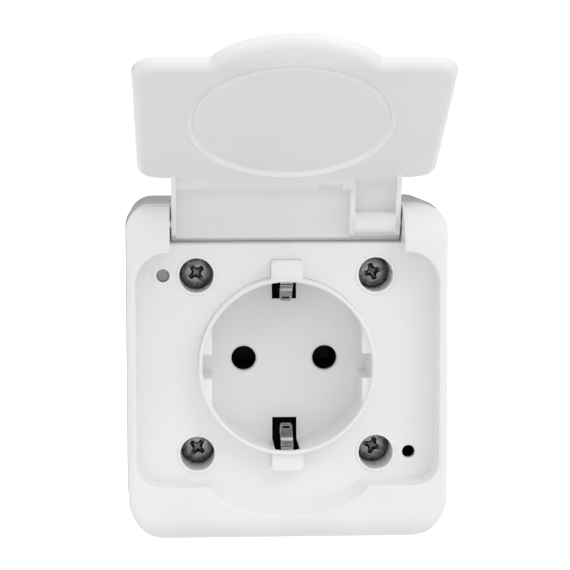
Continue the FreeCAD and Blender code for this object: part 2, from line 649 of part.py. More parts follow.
def make_contact_carrier():
    w, h = CARRIER_HALF_W, CARRIER_HALF_H
    r = CARRIER_CORNER_R
    solids = [slab(-w, w, CARRIER_FRONT_Y, CARRIER_BACK_Y, -h, h, r, r)]
    for x, z in PILLARS:
        z0, z1 = sorted((0, math.copysign(abs(z) + CARRIER_ARM_HALF_W, z)))
        solids.append(slab(x - CARRIER_ARM_HALF_W, x + CARRIER_ARM_HALF_W, ARM_Y, CARRIER_BACK_Y, z0, z1, r, r))
    front = CARRIER_FRONT_Y - PAST
    cuts = [post(SCREW_R, ARM_Y - PAST, CARRIER_BACK_Y + PAST, x, z) for x, z in PILLARS]
    grip = PLUG_PIN_R + STRIP_T
    chamber_w = grip + CHAMBER_SIDE_GAP
    chamber_h = grip + CHAMBER_END_GAP
    clamp_half = CLAMP_H / 2 + FIT_GAP
    for side in (-1, 1):
        cx = side * PIN_HALF_PITCH
        cuts.append(block(cx - chamber_w, cx + chamber_w, front, CARRIER_BACK_Y - CARRIER_FLOOR, -chamber_h, chamber_h))
        x0, x1 = sorted((cx, side * (w + PAST)))
        cuts.append(block(x0, x1, front, CLAMP_FRONT_Y + CLAMP_L + FIT_GAP, -clamp_half, clamp_half))
        z = side * WELL_BOSS_Z
        cuts.append(post(WELL_BOSS_R + FIT_GAP, front, CARRIER_FRONT_Y + WELL_BOSS_L + FIT_GAP, 0, z))
        cuts.append(post(WELL_SCREW_R, CARRIER_FRONT_Y, CARRIER_BACK_Y + PAST, 0, z))
    return cut_all(fused(solids), cuts)


def bent_strip(points, thickness, along, width):
    """Flat strip folded along points, centred on its own width."""
    path = Part.Wire([line(a, b) for a, b in zip(points[:-1], points[1:])])
    outline = path.makeOffset2D(thickness / 2, 0, False, False)
    face = Part.Face(outline)
    face.translate(along * (-width / 2))
    return face.extrude(along * width)


def make_contact(side):
    """Clip round the plug pin, with a tongue that reaches into the terminal clamp."""
    grip = PLUG_PIN_R + STRIP_T / 2
    mouth_x = -grip - MOUTH_FLARE
    points = [Vector(mouth_x, 0, grip + MOUTH_RISE), Vector(mouth_x + MOUTH_L, 0, grip), Vector(grip, 0, grip),
              Vector(grip, 0, -grip), Vector(mouth_x + MOUTH_L, 0, -grip), Vector(mouth_x, 0, -grip - MOUTH_RISE)]
    clip = bent_strip(points, STRIP_T, Y_DIR, CONTACT_BACK_Y - CONTACT_FRONT_Y)
    clip.translate(Vector(PIN_HALF_PITCH, (CONTACT_FRONT_Y + CONTACT_BACK_Y) / 2, 0))
    tongue = block(PIN_HALF_PITCH + grip, CLAMP_X + CLAMP_W / 2, TONGUE_Y, TONGUE_Y + STRIP_T,
                   -TONGUE_W / 2, TONGUE_W / 2)
    contact = fused([clip, tongue])
    if side < 0:
        contact = contact.mirror(ORIGIN, X_DIR)
    return contact


def make_clamp():
    """Terminal clamp about the Y axis, its window open along X and its front at y = 0."""
    body = slab(-CLAMP_W / 2, CLAMP_W / 2, 0, CLAMP_L, -CLAMP_H / 2, CLAMP_H / 2, CLAMP_CORNER_R, CLAMP_CORNER_R)
    window = block(-CLAMP_W, CLAMP_W, CLAMP_WINDOW_FROM, CLAMP_WINDOW_FROM + CLAMP_WINDOW, -TONGUE_W / 2, TONGUE_W / 2)
    return body.cut(window).cut(post(CLAMP_SCREW_R, -PAST, CLAMP_WINDOW_FROM + PAST))


def make_clamp_screw():
    """Slotted terminal screw, its head end at y = 0."""
    screw = post(CLAMP_SCREW_R, CLAMP_SCREW_SUNK, CLAMP_WINDOW_FROM + CLAMP_SCREW_PAST)
    return screw.cut(block(-2 * CLAMP_SCREW_R, 2 * CLAMP_SCREW_R, 0, CLAMP_SCREW_SUNK + CLAMP_SLOT_DEPTH,
                           -CLAMP_SLOT_W / 2, CLAMP_SLOT_W / 2))


def clamp_places():
    """Name, centre and turn about Y of the three terminals."""
    earth_front = CARRIER_BACK_Y + STRIP_T - CLAMP_WINDOW_FROM - CLAMP_WINDOW
    return [("left", Vector(-CLAMP_X, CLAMP_FRONT_Y, 0), 0), ("right", Vector(CLAMP_X, CLAMP_FRONT_Y, 0), 0),
            ("earth", Vector(0, earth_front, EARTH_CLAMP_Z), 90)]


def placed(shape, place, turn):
    moved = shape.copy()
    moved.rotate(ORIGIN, Y_DIR, turn)
    moved.translate(place)
    return moved


def make_earth_bridge():
    """Web behind the carrier with a leg and a sprung clip at each earth slot."""
    back = CARRIER_BACK_Y + STRIP_T
    mid = CARRIER_BACK_Y + STRIP_T / 2
    leg = EARTH_LEG_Z
    tip_y = RIM_Y + LUG_DROP + WELL_WALL + CLIP_TIP_GAP
    points = [(mid, 0.0), (mid, leg), (tip_y + CLIP_TIP_L, leg), (tip_y, leg - CLIP_TIP_IN),
              (tip_y + CLIP_NOSE_L, leg - CLIP_NOSE_IN), (tip_y + CLIP_BEND_L, leg - CLIP_BEND_IN),
              (tip_y + CLIP_END_L, leg - CLIP_END_IN)]
    pieces = [bent_strip([Vector(0, y, side * z) for y, z in points], STRIP_T, X_DIR, EARTH_STRIP_W)
              for side in (1, -1)]
    web_x = EARTH_WEB_W / 2
    pieces.append(block(-web_x, web_x, CARRIER_BACK_Y, back, -CARRIER_HALF_H, CARRIER_HALF_H))
    tail_x = TONGUE_W / 2
    pieces.append(block(-tail_x, tail_x, CARRIER_BACK_Y, back, EARTH_CLAMP_Z - CLAMP_W / 2, -CARRIER_HALF_H))
    return cut_all(fused(pieces), [post(WELL_SCREW_R, CARRIER_BACK_Y - PAST, back + PAST, 0, side * WELL_BOSS_Z)
                                   for side in (-1, 1)])


def make_pan_screw(radius, head_r, head_h, head_y, end_y, x, z):
    """Small cross-head screw along Y, its head's flat side at head_y and its shank running on to end_y."""
    towards = math.copysign(1.0, end_y - head_y)
    seat = head_y + towards * head_h
    y0, y1 = sorted((head_y, seat))
    head = post(head_r, y0, y1)
    head = head.makeChamfer(head_h / 4, edges_in_plane(head, head_y))
    s0, s1 = sorted((seat, end_y))
    screw = head.fuse(post(radius, s0, s1))
    c0, c1 = sorted((head_y - towards * PAST, head_y + towards * head_h / 2))
    reach = head_r * SMALL_CROSS_SHARE
    half = SMALL_CROSS_W / 2
    cross = block(-reach, reach, c0, c1, -half, half).fuse(block(-half, half, c0, c1, -reach, reach))
    return placed(screw.cut(cross), Vector(x, 0, z), 45)


def make_carrier_screws():
    return Part.Compound([make_pan_screw(SCREW_R, CARRIER_HEAD_R, CARRIER_HEAD_H, ARM_Y - CARRIER_HEAD_H,
                                         -BOX_FLOOR, x, z) for x, z in PILLARS])


def make_well_screws():
    head_y = CARRIER_BACK_Y + STRIP_T + WELL_HEAD_H
    end_y = FLOOR_BACK_Y + WELL_SCREW_SHORT
    return Part.Compound([make_pan_screw(WELL_SCREW_R, WELL_HEAD_R, WELL_HEAD_H, head_y, end_y, 0, side * WELL_BOSS_Z)
                          for side in (-1, 1)])


# Lid, modelled shut and then swung open

def neck_wall(x0, x1):
    """Block of the neck, from the shell's curve to the side walls' straight free edge."""
    r = TOP_ROUND - NECK_TOP_GAP
    top = NECK_TOP_Z
    root_z = DRIP_RIB_Z - NECK_ROOT
    diagonal = r * (1 - math.sqrt(0.5))
    p1 = Vector(x0, LID_OUTER_Y, root_z)
    p2 = Vector(x0, LID_OUTER_Y, top - r)
    p3 = Vector(x0, LID_OUTER_Y + r, top)
    p4 = Vector(x0, NECK_END_Y, top)
    p5 = Vector(x0, NECK_END_Y, top - NECK_END_H)
    p6 = Vector(x0, LID_INNER_Y, root_z)
    mid = Vector(x0, LID_OUTER_Y + diagonal, top - diagonal)
    wire = Part.Wire([line(p1, p2), arc(p2, mid, p3), line(p3, p4), line(p4, p5), line(p5, p6), line(p6, p1)])
    return Part.Face(wire).extrude(Vector(x1 - x0, 0, 0))


def neck_hollow(x0, x1, shell_t):
    """Space inside the shell, as the inner side of the same curve."""
    inner_y = LID_OUTER_Y + shell_t
    top = NECK_TOP_Z - shell_t
    r = TOP_ROUND - NECK_TOP_GAP - shell_t
    low_z = DRIP_RIB_Z + NECK_WALL
    start = math.asin((low_z - top + r) / r)

    def on_curve(angle):
        return Vector(x0, inner_y + r - r * math.cos(angle), top - r + r * math.sin(angle))

    p1 = on_curve(start)
    p2 = on_curve(math.pi / 2)
    p3 = Vector(x0, NECK_END_Y + PAST, top)
    p4 = Vector(x0, NECK_END_Y + PAST, low_z)
    wire = Part.Wire([arc(p1, on_curve(start / 2 + math.pi / 4), p2), line(p2, p3), line(p3, p4), line(p4, p1)])
    return Part.Face(wire).extrude(Vector(x1 - x0, 0, 0))


def oval(y, step):
    """The dish's oval, stepped inwards."""
    wire = Part.Wire([Part.Ellipse(ORIGIN, OVAL_HALF_H - step, OVAL_HALF_W - step).toShape()])
    wire.rotate(ORIGIN, Z_DIR, 90)
    wire.rotate(ORIGIN, X_DIR, 90)
    wire.translate(Vector(0, y, -OVAL_DROP))
    return wire


def oval_rise():
    """Raised oval on the lid's outside."""
    return Part.makeLoft([oval(LID_OUTER_Y, 0.0), oval(LID_OUTER_Y - OVAL_STEP, OVAL_STEP)], True, True)


def oval_dish():
    """Shallow dish on the lid's inside, with a deeper groove round it."""
    whole = Part.makeLoft([oval(LID_INNER_Y, 0.0), oval(LID_INNER_Y - GROOVE_DEPTH, GROOVE_SLOPE_W)], True, True)
    floor_y = LID_INNER_Y - DISH_DEPTH
    middle = Part.makeLoft([oval(floor_y, GROOVE_W), oval(LID_INNER_Y - GROOVE_DEPTH, GROOVE_W - GROOVE_SLOPE_W / 2)],
                           True, True)
    return whole.cut(middle)


def rim_edges(solid, side):
    """Edges round the run of faces that looks towards +Y or -Y."""
    facing = []
    for face in solid.Faces:
        u0, u1, v0, v1 = face.ParameterRange
        if side * face.normalAt((u0 + u1) / 2, (v0 + v1) / 2).y > 0.8:
            facing.append(face)
    edges = [edge for face in facing for edge in face.Edges]
    return [edge for edge in edges if sum(edge.isSame(other) for other in edges) == 1]


def lid_plate():
    """The lid's plate with its finger tab, which curls outwards towards its tip."""
    z_start = LID_BOTTOM_Z
    z_top = z_start + TAB_ROOT
    front = LID_OUTER_Y - TAB_KICK - PAST
    back = LID_INNER_Y + PAST
    tab = Part.Face(tab_outline(front, TAB_HALF_W, z_start, TAB_REACH, z_top)).extrude(Vector(0, back - front, 0))
    plan = fused([bay_slab(LID_GAP, front, back), tab])
    roots = [e for e in edges_along(plan, Y_DIR) if abs(abs(e.BoundBox.XMax) - TAB_HALF_W) < 0.01]
    plan = plan.makeFillet(TAB_CORNER_R, roots)
    tip_z = z_start - TAB_REACH - PAST
    mid_z = (z_start + tip_z) / 2
    bow = TAB_KICK / 4

    def side_line(y):
        start, bend, tip = Vector(0, y, z_start), Vector(0, y - bow, mid_z), Vector(0, y - TAB_KICK, tip_z)
        return Vector(0, y, BAY_TOP_Z), start, arc(start, bend, tip), tip

    outer_top, outer_start, outer_curl, outer_tip = side_line(LID_OUTER_Y)
    inner_top, inner_start, inner_curl, inner_tip = side_line(LID_INNER_Y)
    wire = Part.Wire([line(outer_top, outer_start), outer_curl, line(outer_tip, inner_tip), inner_curl,
                      line(inner_start, inner_top), line(inner_top, outer_top)])
    band = Part.Face(wire)
    band.translate(Vector(-HALF_W, 0, 0))
    plate = plan.common(band.extrude(Vector(2 * HALF_W, 0, 0)))
    plate = plate.makeFillet(LID_OUTER_ROUND, rim_edges(plate, -1))
    return plate.makeFillet(LID_INNER_ROUND, rim_edges(plate, 1))


def swing_relief():
    """What the bay's upper edge and corners sweep out of the shut lid as it opens."""
    low_z = BAY_TOP_Z - BAY_TOP_CORNER_R
    rim = block(-HALF_W, HALF_W, FRONT_Y, FRONT_Y + PAST, low_z, AXIS_Z)
    rim = rim.cut(bay_slab(SWING_GAP, FRONT_Y - PAST, FRONT_Y + 2 * PAST))
    front = min(rim.Faces, key=lambda face: face.CenterOfMass.y)
    swept = front.revolve(Vector(0, AXIS_Y, AXIS_Z), X_DIR, 360)
    return swept.fuse(rod(AXIS_Y - FRONT_Y + SWING_GAP, -HALF_W, HALF_W))


def make_neck():
    """Hollow neck with a pocket at its right end, the trunnion, the pin's barrel and the drip rib."""
    half = NECK_HALF_W
    rib_x0 = POCKET_X0 - NECK_WALL
    inside = half - NECK_WALL
    rib_top = DRIP_RIB_Z + NECK_WALL
    neck = neck_wall(-half, half)
    neck = cut_all(neck, [neck_hollow(-inside, rib_x0, NECK_SHELL_T),
                          neck_hollow(POCKET_X0, POCKET_X1, POCKET_SHELL_T),
                          block(-inside, inside, LID_INNER_Y, AXIS_Y, DRIP_RIB_Z - 2 * NECK_ROOT, rib_top)])
    rib = block(-inside, POCKET_X0, LID_INNER_Y - NECK_SHELL_T / 2, LID_INNER_Y + DRIP_RIB_H, DRIP_RIB_Z, rib_top)
    rib = rib.cut(block(DRIP_NOTCH_X, DRIP_NOTCH_X + DRIP_NOTCH_W, LID_INNER_Y + DRIP_RIB_H / 2,
                        LID_INNER_Y + DRIP_RIB_H + PAST, DRIP_RIB_Z - PAST, rib_top + PAST))
    trunnion = rod(PIN_R, -SHOULDER_X - PIN_SEAT_DEPTH + PIN_END_GAP, -inside)
    return fused([neck, rib, trunnion, rod(BARREL_R, POCKET_X0, POCKET_X1)])


def make_lid_shut():
    lid = fused([lid_plate().cut(swing_relief()), make_neck(), oval_rise()])
    return cut_all(lid, [oval_dish(), rod(PIN_R + PIN_RUN_GAP, POCKET_X0, SHOULDER_X)])


def make_lid():
    lid = make_lid_shut()
    lid.rotate(Vector(0, AXIS_Y, AXIS_Z), Vector(-1, 0, 0), LID_OPEN_ANGLE)
    return lid


def make_hinge_pin():
    """Pin pressed in through the right shoulder; the lid's barrel turns on it."""
    pin = rod(PIN_R, POCKET_X0 + PIN_END_GAP, HALF_W - PIN_END_GAP)
    return pin.makeChamfer(PIN_R / 4, [e for e in pin.Edges if e.BoundBox.XLength < 1e-4])


save("back_box", make_back_box())
save("box_gasket", make_box_gasket())
save("cable_grommet", make_cable_grommet())
save("blanking_plug", make_blanking_plug())
save("fixing_seals", make_fixing_seals())
save("cover", make_cover())
save("cover_screws", make_cover_screws())
save("screw_seals", make_screw_seals())
save("socket_well", make_socket_well())
save("contact_carrier", make_contact_carrier())
save("contact_left", make_contact(-1))
save("contact_right", make_contact(1))
for name, place, turn in clamp_places():
    save("clamp_" + name, placed(make_clamp(), place, turn))
save("clamp_screws", Part.Compound([placed(make_clamp_screw(), place, turn) for name, place, turn in clamp_places()]))
save("earth_bridge", make_earth_bridge())
save("carrier_screws", make_carrier_screws())
save("well_screws", make_well_screws())
save("lid", make_lid())
save("hinge_pin", make_hinge_pin())
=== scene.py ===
import math

import bmesh
import bpy
from mathutils import Euler, Matrix, Vector


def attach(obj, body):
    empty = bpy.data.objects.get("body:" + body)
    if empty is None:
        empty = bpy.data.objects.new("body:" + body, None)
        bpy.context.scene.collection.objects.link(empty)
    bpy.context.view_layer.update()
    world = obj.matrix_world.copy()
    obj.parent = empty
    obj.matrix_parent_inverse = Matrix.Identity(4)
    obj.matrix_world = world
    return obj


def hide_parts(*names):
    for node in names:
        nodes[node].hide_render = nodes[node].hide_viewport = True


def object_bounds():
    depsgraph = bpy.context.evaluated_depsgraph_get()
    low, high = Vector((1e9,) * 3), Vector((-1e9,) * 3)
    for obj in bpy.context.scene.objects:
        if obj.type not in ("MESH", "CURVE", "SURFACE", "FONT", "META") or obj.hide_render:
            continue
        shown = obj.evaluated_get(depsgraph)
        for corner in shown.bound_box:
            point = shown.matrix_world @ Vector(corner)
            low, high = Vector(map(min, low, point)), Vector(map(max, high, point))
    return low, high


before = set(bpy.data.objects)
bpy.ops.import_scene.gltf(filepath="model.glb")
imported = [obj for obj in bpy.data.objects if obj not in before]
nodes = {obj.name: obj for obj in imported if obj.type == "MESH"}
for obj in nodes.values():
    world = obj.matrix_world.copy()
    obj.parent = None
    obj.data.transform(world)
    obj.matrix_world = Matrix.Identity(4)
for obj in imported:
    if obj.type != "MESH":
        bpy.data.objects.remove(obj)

cad_low, cad_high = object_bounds()
MM = 0.001

# Camera, in the place that the photograph was taken from
CAMERA_PLACE = (-0.021845, -0.504249, 0.058158)
CAMERA_PITCH = math.radians(-4.917)
CAMERA_YAW = math.radians(2.660)
CAMERA_ROLL = math.radians(-0.157)
CAMERA_LENS = 128.86

# Light: how bright the studio is by height and behind the object, and between which directions it changes
BACKDROP = 1.15
WALL_LIGHT = 0.88
CEILING_LIGHT = 1.16
FLOOR_LIGHT = 0.73
BACK_LIGHT = 0.15
FLOOR_TO_WALL = (-0.45, -0.03)
WALL_TO_CEILING = (0.35, 0.8)
FRONT_TO_BACK = (0.15, 0.9)
KEY_PLACE = (0.8, -1.0, 1.05)
KEY_AIM = (0, -0.03, 0.02)
KEY_SIZE = 0.8
KEY_POWER = 3.5
FLOOR_GLOW = 0.85
FLOOR_GAP = 0.0002

# Places on the object, in metres, as the solids have them
SCREW_PITCH = 0.020499
LID_ANGLE = math.radians(118.8)
HINGE_AXIS = (0.0, -0.03905, 0.032349)

# Sizes of the new pieces, in millimetres
SEAT_Y = -28.9
HEAD_R = 3.65
SHANK_R = 1.9
SHANK_L = 14.0
SHANK_TIP = 1.5
HEAD_STEPS = ((1.25, 1.0), (0.5, 0.965), (0.3, 0.93), (0.17, 0.9), (0.1, 0.8), (0.06, 0.62), (0.02, 0.3))
CROSS_R = 2.05
CROSS_DEPTH = 1.7
DRIVE_SLOT_W = 1.0
CROSS_HOLLOWS = ((2, 0.62), (3, 0.56), (4, 0.62))
DRIVE_SLOT_DEPTH = 0.9
SCREW_WORN_LIT_EDGE = 0.22
SCREW_TURNS = {"tl": (-1, 1, 51), "tr": (1, 1, -17), "bl": (-1, -1, -51), "br": (1, -1, 17)}
DISH_HALF_W = 22.24
DISH_HALF_H = 24.5
DISH_FACE_Y = -45.74
DISH_DROP = 2.3
DISH_BACK = 1.35
DISH_SLOPE_W = 0.92
DISH_PROFILE = ((-0.22, -0.08), (-0.1, -0.12), (0.92, 0.98), (1.02, 1.0), (1.12, 0.74), (1.28, 0.54),
                (1.5, 0.42), (1.8, 0.35), (2.4, 0.3))
SLOT_HALF_W = 2.84
SLOT_HALF_DEPTH = 9.02
SLOT_HALF_H = 4.55
SLOT_MIDDLE_Y = -35.04
SLOT_MIDDLE_Z = 18.6
SLOT_BACK_Y = -28.4
SLOT_OPEN_Z = 19.4
# Thickness of the black sheet of painted shade in each earth slot.
SHADE_SHEET_T = 0.06
CLIP_HALF_W = 1.38
CLIP_STATIONS = ((-42.95, 18.3, 20.3, 1.0), (-42.6, 18.1, 20.3, 1.0), (-42.35, 17.98, 19.1, 1.0),
                 (-41.3, 17.5, 18.65, 1.0), (-40.9, 16.95, 18.4, 1.0), (-40.4, 16.75, 18.15, 1.0),
                 (-40.1, 16.85, 18.0, 1.0), (-36.9, 14.65, 16.4, 1.0), (-36.4, 14.25, 16.2, 0.83),
                 (-35.7, 14.3, 16.5, 0.8), (-35.3, 14.8, 16.6, 0.8))
CLIP_WINDOWS = ((-42.3, -41.42, 17.2, 17.92), (-37.8, -37.0, 14.0, 15.45))
CLIP_WINDOW_SHARE = 0.7
CLIP_RIDGE_HIGHLIGHT = (-41.42, -40.7)
CLIP_NOSE_SHADE_Y = -42.94
CLIP_WORN_LIT_EDGE = 0.06


def deselect_all():
    bpy.ops.object.select_all(action="DESELECT")


# Shader maths

class Value:
    """A shader socket that can stand in a sum."""

    def __init__(self, finish, socket):
        self.finish = finish
        self.socket = socket

    def __add__(self, other):
        return self.finish.maths("ADD", self, other)

    def __sub__(self, other):
        return self.finish.maths("SUBTRACT", self, other)

    def __mul__(self, other):
        return self.finish.maths("MULTIPLY", self, other)


class Finish:
    """A material whose nodes are added as its maths is written."""

    def __init__(self, name):
        self.material = bpy.data.materials.new(name)
        self.material.use_nodes = True
        self.tree = self.material.node_tree
        self.shader = self.tree.nodes["Principled BSDF"]
        self.place = Value(self, self.tree.nodes.new("ShaderNodeTexCoord").outputs["Object"])

    def put(self, socket, value):
        if isinstance(value, Value):
            self.tree.links.new(value.socket, socket)
        else:
            socket.default_value = value

    def node(self, kind, settings=None, inputs=None, output=0):
        made = self.tree.nodes.new(kind)
        for name, value in (settings or {}).items():
            setattr(made, name, value)
        for key, value in (inputs or {}).items():
            self.put(made.inputs[key], value)
        return Value(self, made.outputs[output])

    def maths(self, operation, *values):
        return self.node("ShaderNodeMath", {"operation": operation}, dict(enumerate(values)))

    def noise(self, scale, detail=3.0, place=None):
        return self.node("ShaderNodeTexNoise", {}, {
            "Vector": place or self.place, "Scale": scale, "Detail": detail}, "Fac")

    def stretched(self, x, y, z):
        """Object coordinates, scaled along each axis."""
        return self.node("ShaderNodeMapping", {}, {"Vector": self.place, "Scale": (x, y, z)})

    def between(self, share, low, high):
        return self.node("ShaderNodeMix", {"data_type": "RGBA"}, {"Factor": share, 6: low, 7: high}, 2)

    def band(self, value, from_low, from_high, to_low, to_high):
        return self.node("ShaderNodeMapRange", {"clamp": True}, {
            "Value": value, "From Min": from_low, "From Max": from_high, "To Min": to_low, "To Max": to_high})

    def bump(self, height, strength, distance):
        return self.node("ShaderNodeBump", {}, {"Height": height, "Strength": strength, "Distance": distance})

    def shade(self, **inputs):
        for name, value in inputs.items():
            self.put(self.shader.inputs[name.replace("_", " ")], value)
        return self.material


def grey(level):
    return (level, level, level, 1.0)


def moulded_plastic(name, level, gloss, texture=0.02):
    """Injection-moulded plastic: an even colour, faint clouds in its gloss and a very fine mould texture."""
    finish = Finish(name)
    clouds = finish.noise(60.0)
    grain = finish.noise(1400.0, detail=2.0)
    share = finish.band(clouds, 0.3, 0.7, 0.0, 1.0)
    colour = finish.between(share, grey(level * 0.985), grey(min(1.0, level * 1.012)))
    roughness = finish.band(clouds, 0.25, 0.75, gloss - 0.03, gloss + 0.04) + (grain - 0.5) * 0.04
    return finish.shade(Base_Color=colour, Roughness=roughness, IOR=1.46,
                        Normal=finish.bump(grain, texture, 0.0003))


def soft_rubber(name):
    finish = Finish(name)
    grain = finish.noise(900.0, detail=4.0)
    return finish.shade(Base_Color=finish.between(grain, grey(0.018), grey(0.035)),
                        Roughness=grain * 0.2 + 0.6,
                        Normal=finish.bump(grain, 0.12, 0.0002))


# Near-black matt finish that stands for the shade in slots and windows: painted shade.
def painted_shade_black(name):
    finish = Finish(name)
    dust = finish.noise(300.0)
    return finish.shade(Base_Color=finish.between(dust, grey(0.002), grey(0.008)),
                        Roughness=dust * 0.1 + 0.85, Specular_IOR_Level=0.08)


def plated_metal(name, dark, light, gloss, stretch, metallic=1.0):
    """Plated sheet or wire with a fine grain along one axis."""
    finish = Finish(name)
    grain = finish.noise(420.0, detail=5.0, place=finish.stretched(*stretch))
    stain = finish.noise(160.0)
    return finish.shade(Base_Color=finish.between(finish.band(stain, 0.35, 0.7, 0.0, 1.0), dark, light),
                        Metallic=metallic, Roughness=finish.band(grain, 0.3, 0.7, gloss - 0.08, gloss + 0.12),
                        Normal=finish.bump(grain, 0.06, 0.0001))


def screw_zinc(name, dark, light, metallic=0.9):
    """Dark zinc with turned rings about each of the four screws."""
    finish = Finish(name)
    split = finish.tree.nodes.new("ShaderNodeSeparateXYZ")
    finish.put(split.inputs[0], finish.place)
    across = finish.maths("ABSOLUTE", Value(finish, split.outputs["X"])) - SCREW_PITCH
    upward = finish.maths("ABSOLUTE", Value(finish, split.outputs["Z"])) - SCREW_PITCH
    radius = finish.maths("SQRT", across * across + upward * upward)
    rings = finish.maths("SINE", radius * 52000.0)
    stain = finish.noise(700.0, detail=5.0)
    wear = finish.noise(2600.0, detail=3.0)
    share = finish.band(stain + wear * 0.4, 0.45, 0.95, 0.0, 1.0)
    return finish.shade(Base_Color=finish.between(share, grey(dark), grey(light)), Metallic=metallic,
                        Roughness=finish.band(stain, 0.3, 0.7, 0.2, 0.36),
                        Normal=finish.bump(rings * 0.25 + wear, 0.12, 0.00008))


cover_white = moulded_plastic("cover_white", 0.92, 0.34)
lid_white = moulded_plastic("lid_white", 0.92, 0.38)
# Glossier white for the dish's sloped edge. The gloss is the plastic's own; the lighter colour is a painted
# highlight.
lid_gloss_and_painted_highlight = moulded_plastic("lid_gloss_and_painted_highlight", 0.985, 0.22, texture=0.0)
box_grey = moulded_plastic("box_grey", 0.45, 0.46, texture=0.05)
# Near-black carrier, so that it reads dark through the pin holes and slots: painted shade.
carrier_painted_shade = moulded_plastic("carrier_painted_shade", 0.02, 0.5, texture=0.08)
rubber_black = soft_rubber("rubber_black")
# Black for the earth slots and the clip windows: painted shade.
slot_painted_shade = painted_shade_black("slot_painted_shade")
zinc_dark = screw_zinc("zinc_dark", 0.14, 0.42)
# Near-white, hardly metallic zinc for the screws' rounded edges: worn plating and a painted highlight.
zinc_wear_and_highlight = screw_zinc("zinc_wear_and_highlight", 0.85, 0.98, 0.1)
# Darker zinc for the walls of each screw's slot and cross: painted shade in the recess.
zinc_hollow_shade = screw_zinc("zinc_hollow_shade", 0.015, 0.24)
nickel = plated_metal("nickel", grey(0.23), grey(0.36), 0.26, (1.0, 0.12, 0.12))
# Light, hardly metallic nickel: worn plating on the clip blades' rounded edges, and a painted highlight on
# those edges and on the ridge.
nickel_wear_and_highlight = plated_metal("nickel_wear_and_highlight", grey(0.6), grey(0.8), 0.2, (1.0, 0.12, 0.12), metallic=0.3)
# Near-black nickel for the nose of each clip blade: painted shade.
nickel_painted_shade = plated_metal("nickel_painted_shade", grey(0.04), grey(0.08), 0.4, (1.0, 0.12, 0.12))
brass = plated_metal("brass", (0.30, 0.21, 0.08, 1.0), (0.46, 0.34, 0.14, 1.0), 0.32, (1.0, 0.2, 1.0))
# Near-black plated metal for the contacts, so that the pin holes read dark: painted shade.
contact_painted_shade = plated_metal("contact_painted_shade", grey(0.008), grey(0.02), 0.6, (1.0, 0.2, 1.0))

FINISHES = {
    "back_box": box_grey, "blanking_plug": box_grey,
    "cover": cover_white, "socket_well": cover_white, "lid": lid_white,
    "contact_carrier": carrier_painted_shade,
    "box_gasket": rubber_black, "cable_grommet": rubber_black,
    "fixing_seals": rubber_black, "screw_seals": rubber_black,
    "cover_screws": zinc_dark, "clamp_screws": zinc_dark,
    "carrier_screws": zinc_dark, "well_screws": zinc_dark,
    "contact_left": contact_painted_shade, "contact_right": contact_painted_shade,
    "clamp_left": brass, "clamp_right": brass, "clamp_earth": brass,
    "earth_bridge": nickel, "hinge_pin": nickel,
}
for node, material in FINISHES.items():
    slots = nodes[node].data.materials
    slots.clear()
    slots.append(material)


# Modelling

def pick(test):
    """Select the vertices of the edited mesh whose place passes the test."""
    mesh = bmesh.from_edit_mesh(bpy.context.object.data)
    for vert in mesh.verts:
        vert.select = test(vert.co)
    mesh.select_flush_mode()
    bmesh.update_edit_mesh(bpy.context.object.data)


def edit(on=True):
    bpy.ops.object.mode_set(mode="EDIT" if on else "OBJECT")


def rise(distance, share=1.0):
    """Extrude the selection along Z, then draw it in."""
    bpy.ops.mesh.extrude_region_move(TRANSFORM_OT_translate={"value": (0, 0, distance)})
    bpy.ops.transform.resize(value=(share, share, 1.0))


def outward():
    bpy.ops.mesh.select_all(action="SELECT")
    bpy.ops.mesh.normals_make_consistent(inside=False)


def cut_with(body, cutter, hollow_shade):
    """Cut one piece with another, and give the hollow that this leaves the finish passed in, a darker one
    that paints shade into it.
    """
    cutter.data.materials.append(hollow_shade)
    hole = body.modifiers.new("hole", "BOOLEAN")
    hole.operation = "DIFFERENCE"
    hole.solver = "EXACT"
    hole.material_mode = "TRANSFER"
    hole.object = cutter
    deselect_all()
    bpy.context.view_layer.objects.active = body
    body.select_set(True)
    bpy.ops.object.modifier_apply(modifier=hole.name)
    bpy.data.objects.remove(cutter)


def break_edges(piece, width, material):
    """Small round along the sharp edges, with a lighter finish for worn metal and a painted highlight."""
    piece.data.materials.append(material)
    edge_round = piece.modifiers.new("worn_lit_edges", "BEVEL")
    edge_round.width = width
    edge_round.segments = 2
    edge_round.limit_method = "ANGLE"
    edge_round.angle_limit = math.radians(35)
    edge_round.material = len(piece.data.materials) - 1
    deselect_all()
    bpy.context.view_layer.objects.active = piece
    piece.select_set(True)
    bpy.ops.object.modifier_apply(modifier=edge_round.name)


def settle(piece, matrix, name, body, smooth=30.0):
    """Put a piece that was modelled in millimetres in its place on the object."""
    deselect_all()
    bpy.context.view_layer.objects.active = piece
    piece.select_set(True)
    piece.matrix_world = Matrix.Scale(MM, 4) @ matrix
    bpy.context.view_layer.update()
    bpy.ops.object.transform_apply(location=True, rotation=True, scale=True)
    bpy.ops.object.shade_smooth_by_angle(angle=math.radians(smooth))
    piece.name = piece.data.name = name
    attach(piece, body)


# Cover screws

def screw_blank():
    """Pan head and shank. The head's seat is at z = 0 and its rounded front looks up."""
    deselect_all()
    bpy.ops.mesh.primitive_circle_add(vertices=64, radius=HEAD_R, fill_type="NGON")
    blank = bpy.context.object
    edit()
    bpy.ops.mesh.select_all(action="SELECT")
    for distance, share in HEAD_STEPS:
        rise(distance, share)
    pick(lambda place: place.z < 0.01)
    bpy.ops.mesh.inset(thickness=HEAD_R - SHANK_R)
    rise(-SHANK_L + SHANK_TIP)
    rise(-SHANK_TIP, 0.3)
    outward()
    edit(False)
    blank.data.materials.append(zinc_dark)
    return blank


